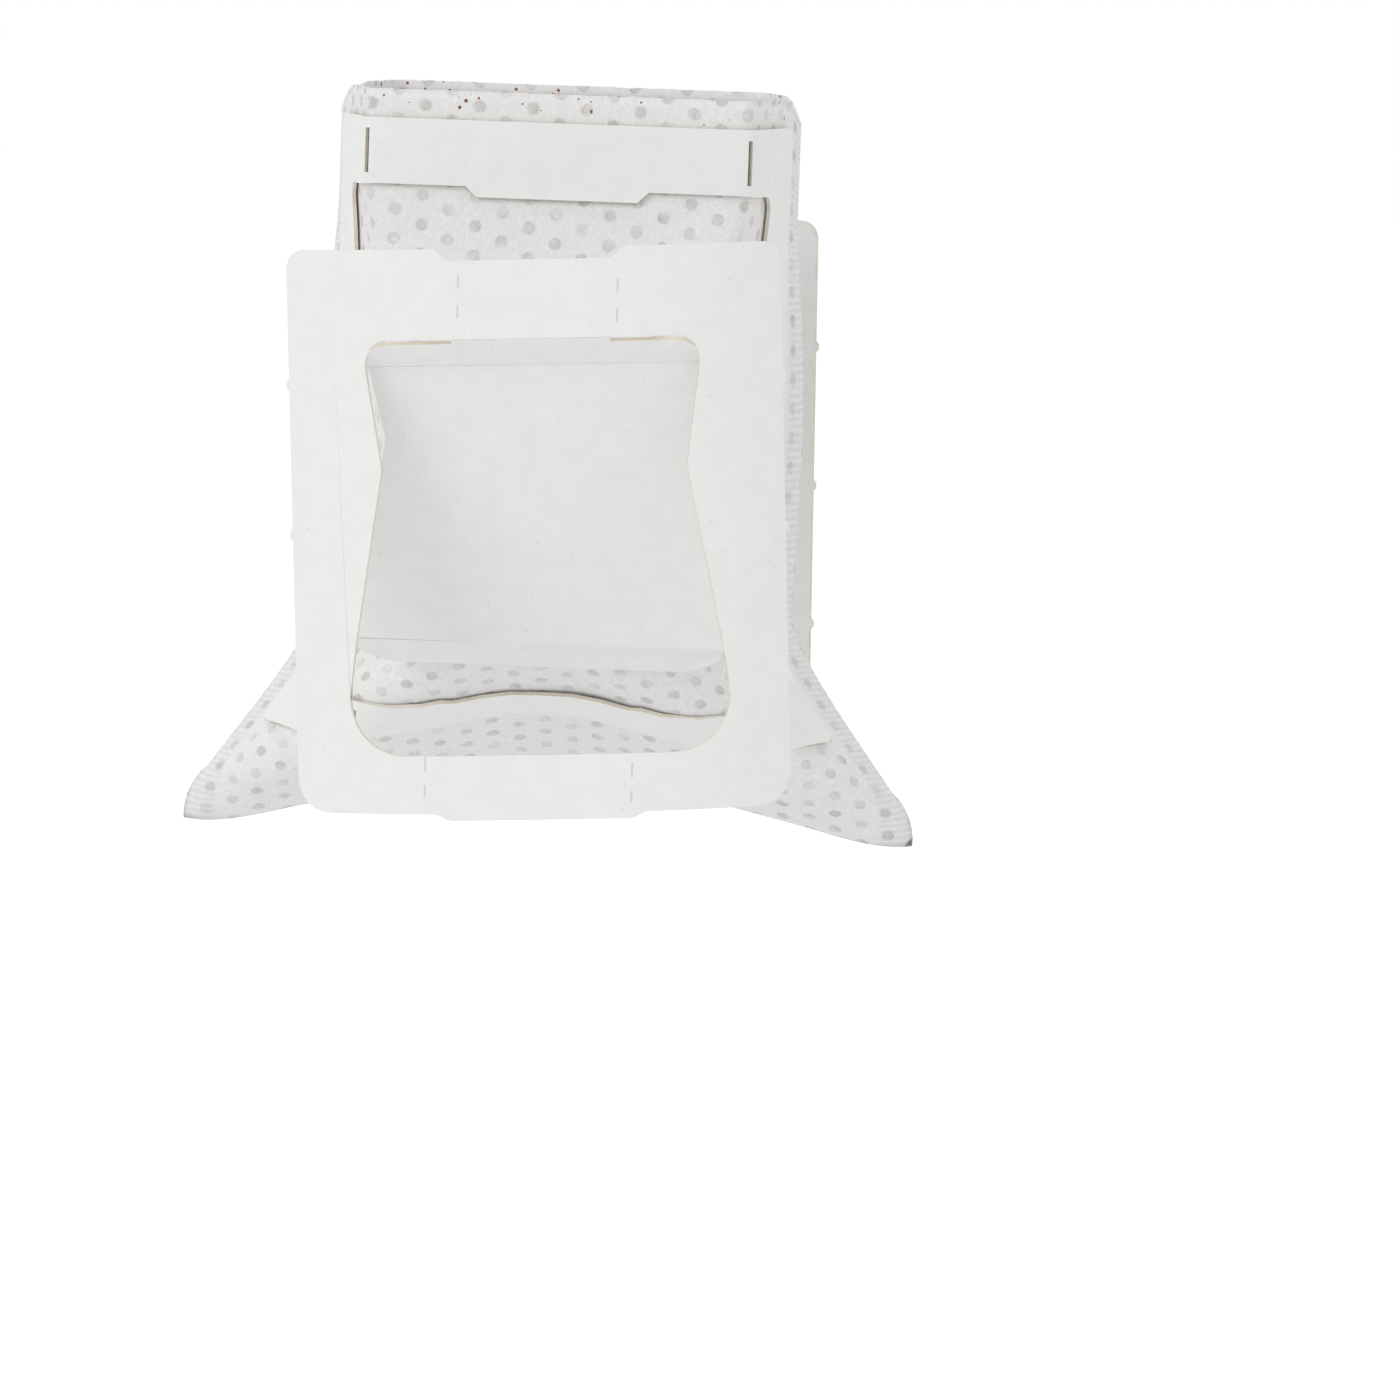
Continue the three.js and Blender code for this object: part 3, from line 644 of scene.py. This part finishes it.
def outline(shape, corners):
    """A flat face with these corners, each (across, down, radius), rounded by bevels."""
    verts = [shape.verts.new((across, -down, 0)) for across, down, _ in corners]
    shape.faces.new(verts)
    for wanted in sorted({radius for _, _, radius in corners if radius}):
        chosen = [vert for vert, (_, _, radius) in zip(verts, corners) if radius == wanted]
        bmesh.ops.bevel(
            shape,
            geom=chosen,
            offset=wanted,
            offset_type="OFFSET",
            segments=corner_steps,
            profile=0.5,
            affect="VERTICES",
            material=-1,
        )


def cut_along(shape, places, direction):
    for place in places:
        geometry = shape.verts[:] + shape.edges[:] + shape.faces[:]
        at = [value * place for value in direction]
        bmesh.ops.bisect_plane(shape, geom=geometry, dist=cut_close, plane_co=at, plane_no=direction)


def steps(start, end, count):
    return [mix(start, end, i / count) for i in range(count + 1)]


def flat_plate():
    """The plate with its window, its notch and tab, and the nubs left on its sides by the die."""
    shape = bmesh.new()
    nubs = [
        (plate_half + reach, middle + along, 0)
        for middle in steps(web + first_nub, opening_end - last_nub, 2)
        for reach, along in (
            (0, -nub_half),
            (nub_reach, -nub_top_half),
            (nub_reach, nub_top_half),
            (0, nub_half),
        )
    ]
    outside = [
        (notch_half, notch_depth, small_corner),
        (notch_half + notch_flare, 0, small_corner),
        (plate_half, 0, plate_top_corner),
        *nubs,
        (plate_half, plate_height, plate_bottom_corner),
        (tab_half + tab_flare, plate_height, small_corner),
        (tab_half, plate_height + tab_depth, small_corner),
    ]
    window = [
        (shoulder_half, web, shoulder_corner),
        (neck_half, web + neck_down, 0),
        (belly_half, opening_end - belly_up, belly_corner),
        (belly_half, opening_end, foot_corner),
    ]
    outline(shape, mirrored(outside))
    outline(shape, mirrored(window))
    bmesh.ops.delete(shape, geom=shape.faces[:], context="FACES_ONLY")
    bmesh.ops.triangle_fill(shape, edges=shape.edges[:], use_beauty=True, normal=(0, 0, 1))
    bends = steps(plate_flat, plate_half - plate_edge, plate_steps)
    bends = [-at for at in bends] + bends
    cut_along(shape, bends, (1, 0, 0))
    clear_between(shape, bends)
    return shape


def clear_between(shape, bends):
    """Takes out what the filling left, so that each strip between two bends is one face."""

    def on_bend(vert):
        return any(abs(vert.co.x - at) < on_line for at in bends)

    def is_bend(edge):
        first, second = edge.verts
        return abs(first.co.x - second.co.x) < on_line and on_bend(first)

    spare = [edge for edge in shape.edges if len(edge.link_faces) == 2 and not is_bend(edge)]
    bmesh.ops.dissolve_edges(shape, edges=spare, use_verts=False, use_face_split=False)
    loose = [vert for vert in shape.verts if len(vert.link_edges) == 2 and on_bend(vert)]
    between = [vert for vert in loose if not any(edge.is_boundary for edge in vert.link_edges)]
    bmesh.ops.dissolve_verts(shape, verts=between)


def flat_arm():
    """The arm from its hinge to the end of its foot, cut along the bends over the rim and at the crease."""
    shape = bmesh.new()
    corners = [
        (hinge_half, -root_overlap, 0),
        (hinge_half, shoulder_gap, 0),
        (shoulder_half - shoulder_clearance, shoulder_gap, shoulder_corner),
        (neck_half, neck_down, 0),
        (belly_half, arm_length - belly_up, belly_corner),
        (belly_half, arm_length, foot_corner),
    ]
    outline(shape, mirrored(corners))
    ends = [sum(length for length, _ in arm_runs[: i + 1]) for i in range(len(arm_runs))]
    bends = steps(ends[0], ends[1], root_steps)
    bends += steps(ends[1], ends[2], rim_steps)[1:] + steps(ends[2], ends[3], crease_steps)[1:]
    cut_along(shape, [-at for at in bends], (0, 1, 0))
    return shape


def plate_place(across, down, side):
    """Where a point of the flat plate comes to lie, flat in the middle and bent round beside it."""
    bent = max(abs(across) - plate_flat, 0) / plate_bend
    radius = plate_bend + card / 2
    x = min(abs(across), plate_flat) + radius * math.sin(bent)
    out = rim_radius + stand_off + card / 2 - radius * (1 - math.cos(bent))
    return Vector((math.copysign(x, across), side * out, hinge_height + web - down))


def arm_place(across, down, side):
    """Where a point of the flat arm comes to lie, carried along the arm's runs and bends from the hinge."""
    out, up, angle, left = rim_radius + stand_off, hinge_height, arm_start, down
    for i, (length, turn) in enumerate(arm_runs):
        run = left if i == len(arm_runs) - 1 else min(left, length)
        turned = turn * run / length
        chord = run if turned == 0 else 2 * run / turned * math.sin(turned / 2)
        out += chord * math.cos(angle + turned / 2)
        up += chord * math.sin(angle + turned / 2)
        angle += turned
        left -= run
        if left <= 0:
            break
    return Vector((across, side * out, up))


def settle(piece):
    """Makes the thickness real, and keeps the die-cut edges sharp under smooth shading."""
    finished = piece.evaluated_get(bpy.context.evaluated_depsgraph_get())
    mesh = bpy.data.meshes.new_from_object(finished)
    piece.modifiers.clear()
    piece.data = mesh
    mesh.name = piece.name
    mesh.set_sharp_from_angle(angle=sharp_angle)


def folded_hook(name, node_name, side, hang, face_material):
    plate, arm = flat_plate(), flat_arm()
    for vert in plate.verts:
        vert.co = rolled(plate_place(vert.co.x, -vert.co.y, side), *hang)
    for vert in arm.verts:
        down = -vert.co.y
        place = arm_place(vert.co.x, down, side)
        on_bag = rolled(place, *bag_roll)
        vert.co = rolled(place, *hang).lerp(on_bag, ease(down / arm_length))
    whole = bmesh.new()
    for sheet in (plate, arm):
        part = bpy.data.meshes.new("folded_card")
        sheet.to_mesh(part)
        whole.from_mesh(part)
        sheet.free()
        bpy.data.meshes.remove(part)
    bmesh.ops.triangulate(whole, faces=whole.faces[:])
    bmesh.ops.scale(whole, vec=(mm, mm, mm), verts=whole.verts)
    # The board's outer side looks out on the plate and up on the arm
    outer_side = Vector((0, side, 0.8))
    for face in whole.faces:
        face.smooth = True
        if face.normal.dot(outer_side) < 0:
            face.normal_flip()
    mesh = mesh_of(name, whole)
    piece = new_object(name, mesh)
    mesh.materials.append(face_material)
    mesh.materials.append(card_core)
    board = piece.modifiers.new("board_thickness", "SOLIDIFY")
    board.thickness = card * mm
    board.offset = 0.0
    board.material_offset_rim = 1
    settle(piece)
    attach(piece, "root")
    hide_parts(node_name)
    print(name, len(piece.data.polygons), "faces")


folded_hook("front_folded_hook", "front_hook", -1, front_hang, hook_face)
folded_hook("rear_folded_hook", "rear_hook", 1, rear_hang, card_face)

# %% [markdown]
# Ground coffee is a heap of dark, broken grains 0.5 to 1 mm across. The model's solid gives the heap. Its
# skin is cut finer and roughened by noise, and loose grains lie on top, each a low ball pushed out of
# round, because only the top of the heap is ever seen, through the bag's mouth.

# %% Ground coffee
random.seed(7)
grain_count = 900
grain_radius = (0.2, 0.5)
grain_squash = (0.6, 1.2)
grain_bumps = (0.85, 1.1)
grain_lift = 0.05
seat_stray = (-0.5, 0.5)
skin_cuts = 3
skin_pitch = 0.9
skin_depth = 0.22
skin_sink = 0.6
facing_up = 0.5


def coffee_heap():
    piece = merged_copy("coffee_grounds", "ground_coffee")
    shape = bmesh.new()
    shape.from_mesh(piece.data)
    bmesh.ops.subdivide_edges(shape, edges=shape.edges, cuts=skin_cuts, use_grid_fill=True)
    shape.normal_update()
    top = [face for face in shape.faces if face.normal.z > facing_up]
    areas = [face.calc_area() for face in top]
    seats = [
        (face.calc_center_median() + random.uniform(*seat_stray) * mm * Vector((1, 1, 0)), face.normal.copy())
        for face in random.choices(top, weights=areas, k=grain_count)
    ]
    for vert in shape.verts:
        rough = noise.noise(vert.co / (skin_pitch * mm)) - skin_sink
        vert.co += vert.normal * rough * skin_depth * mm
    for seat, up in seats:
        radius = random.uniform(*grain_radius) * mm
        grain = bmesh.ops.create_icosphere(shape, subdivisions=1, radius=radius)["verts"]
        squash = [random.uniform(*grain_squash) for _ in range(3)]
        for vert in grain:
            vert.co = Vector([a * b for a, b in zip(vert.co, squash)]) * random.uniform(*grain_bumps)
        bmesh.ops.translate(shape, verts=grain, vec=seat + up * grain_lift * mm)
    shape.to_mesh(piece.data)
    shape.free()
    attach(piece, "root")
    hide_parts("ground_coffee")
    return piece


heap = coffee_heap()
roast, roast_shader = new_material("roasted_coffee_grounds")
roast_place = add_node(roast, "ShaderNodeTexCoord").outputs["Object"]
# Grains of 0.7 mm, each its own brown
grains = add_node(roast, "ShaderNodeTexVoronoi", {"Vector": roast_place}, {"Scale": 1400.0})
grain_tone = add_node(roast, "ShaderNodeSeparateColor", {"Color": grains.outputs["Color"]}).outputs["Red"]
browns = mixed(roast, grain_tone, "#1f120a", "#553620")
grain_bump = add_node(
    roast,
    "ShaderNodeBump",
    {"Height": grains.outputs["Distance"]},
    {"Strength": 0.8, "Distance": 0.0002},
)
feed(roast, browns, roast_shader, "Base Color")
feed(roast, grain_bump.outputs["Normal"], roast_shader, "Normal")
roast_shader.inputs["Roughness"].default_value = 0.7
heap.data.materials.append(roast)
print("coffee", len(heap.data.polygons), "faces")

# %% [markdown]
# A packshot stands on a white sweep under large soft boxes. The floor is a pale plane as far down as the
# table would be. The camera sees it as plain white, and it still takes the object's shadow. The sky gives
# most of the light, and three large lamps give it a direction, so that folds and edges read.

# %% Floor and light
floor_level = -98 * mm
floor_size = 4.0

floor_shape = bmesh.new()
bmesh.ops.create_grid(floor_shape, x_segments=1, y_segments=1, size=floor_size)
bmesh.ops.translate(floor_shape, verts=floor_shape.verts, vec=(0, 0, floor_level))
floor = new_object("studio_floor", mesh_of("studio_floor", floor_shape))
sweep, sweep_shader = new_material("matte_white_sweep")
sweep_shader.inputs["Base Color"].default_value = linear("#f4f4f4")
sweep_shader.inputs["Roughness"].default_value = 0.9
sweep_shader.inputs["Specular IOR Level"].default_value = 0.0
floor.data.materials.append(sweep)


def seen_directly(owner):
    """1 for rays from the camera, off shiny faces and through clear ones, 0 for rays that only give light."""
    ray = add_node(owner, "ShaderNodeLightPath").outputs
    direct = computed(owner, "MAXIMUM", ray["Is Camera Ray"], ray["Is Glossy Ray"])
    return computed(owner, "MAXIMUM", direct, ray["Is Transmission Ray"])


glow = add_node(sweep, "ShaderNodeEmission", values={"Color": linear("#ffffff"), "Strength": 0.45})
lifted = add_node(
    sweep, "ShaderNodeAddShader", {0: sweep_shader.outputs["BSDF"], 1: glow.outputs["Emission"]}
)
floor_look = add_node(
    sweep,
    "ShaderNodeMixShader",
    {0: seen_directly(sweep), 1: sweep_shader.outputs["BSDF"], 2: lifted.outputs["Shader"]},
)
feed(sweep, floor_look.outputs["Shader"], sweep.node_tree.nodes["Material Output"], "Surface")

world = bpy.data.worlds.new("studio_sky")
bpy.context.scene.world = world
world.use_nodes = True
light_sky = world.node_tree.nodes["Background"]
light_sky.inputs["Color"].default_value = linear("#ffffff")
light_sky.inputs["Strength"].default_value = 0.62
white_sky = add_node(
    world, "ShaderNodeBackground", values={"Color": linear("#ffffff"), "Strength": 1.0}
)
sky = add_node(
    world,
    "ShaderNodeMixShader",
    {0: seen_directly(world), 1: light_sky.outputs["Background"], 2: white_sky.outputs["Background"]},
)
feed(world, sky.outputs["Shader"], world.node_tree.nodes["World Output"], "Surface")


def soft_box(name, place, size, power):
    lamp = bpy.data.lights.new(name, "AREA")
    lamp.shape = "SQUARE"
    lamp.size = size
    lamp.energy = power
    holder = new_object(name, lamp)
    holder.location = place
    holder.rotation_euler = (-Vector(place)).to_track_quat("-Z", "Y").to_euler()


soft_box("front_left_box", (-0.9, -1.1, 0.8), 0.8, 6.5)
soft_box("right_box", (1.1, -0.6, 0.5), 0.8, 1.6)
soft_box("top_box", (0.0, 0.2, 1.3), 0.9, 4.0)
print("stage ready")

# %% [markdown]
# The finished scene is shown through Blender's Standard view transform.

# %% Finish
bpy.context.scene.view_settings.view_transform = "Standard"
